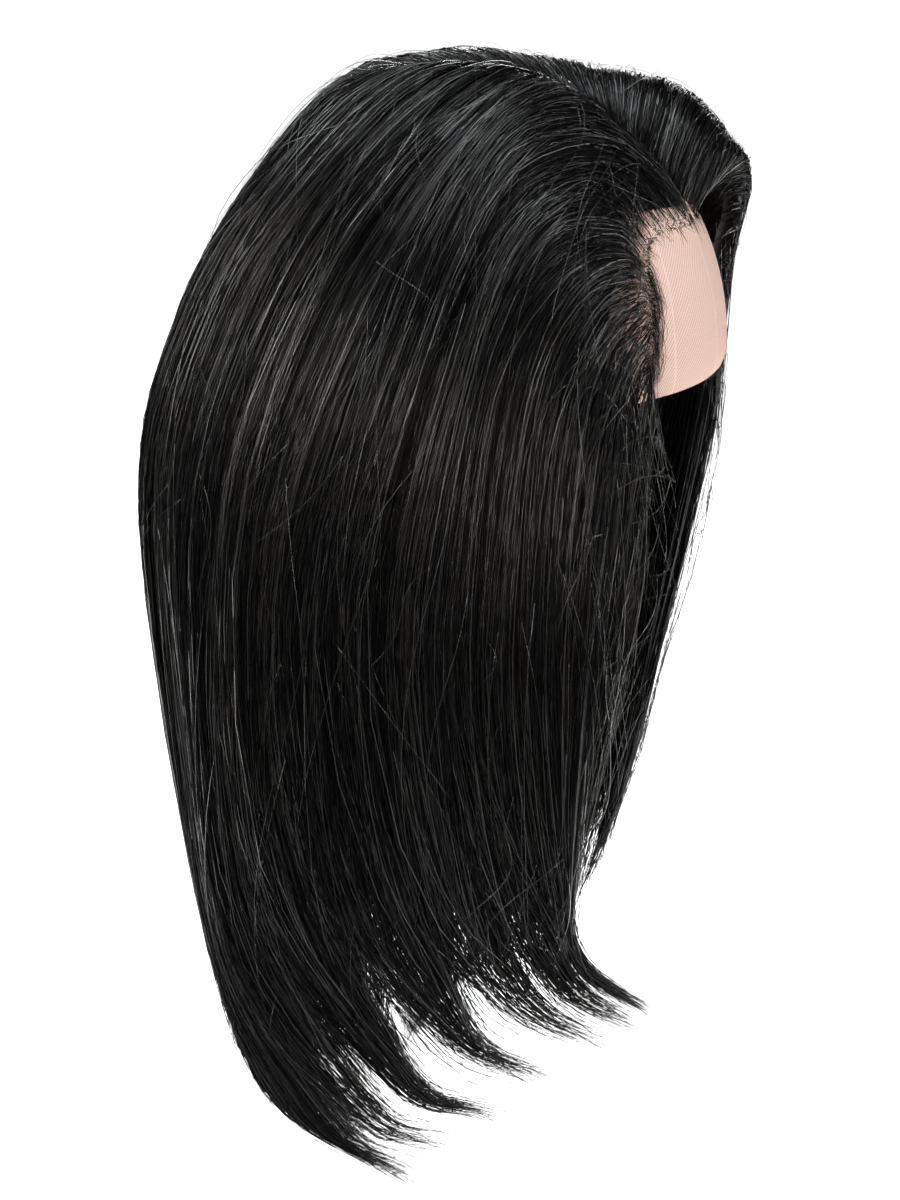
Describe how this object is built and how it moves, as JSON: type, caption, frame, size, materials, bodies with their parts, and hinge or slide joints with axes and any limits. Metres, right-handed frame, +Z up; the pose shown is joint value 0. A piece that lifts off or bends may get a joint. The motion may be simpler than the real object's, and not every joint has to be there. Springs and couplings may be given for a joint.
{
  "type": "lace front wig",
  "caption": "Long straight black lace front wig: a hollow net cap with a lace forehead panel and parted locks of hair that hang round it.",
  "frame": {"origin": "top of the head, where the inside of the cap rests on it", "axes": "+Z up, -Y towards the wearer's face, -X towards the wearer's right"},
  "size_m": [0.2171, 0.2438, 0.5097],
  "materials": {
    "cap_net": "fine black stretch net",
    "lace": "matte skin-pink net with a fine diagonal mesh",
    "hair": "off-black straight hair with a soft sheen"
  },
  "bodies": {
    "root": {"cap": "cap_net", "lace_front": "lace", "hair_front_right": "hair", "hair_side_right": "hair", "hair_back_right": "hair", "hair_back_left": "hair", "hair_side_left": "hair", "hair_front_left": "hair"}
  },
  "joints": []
}
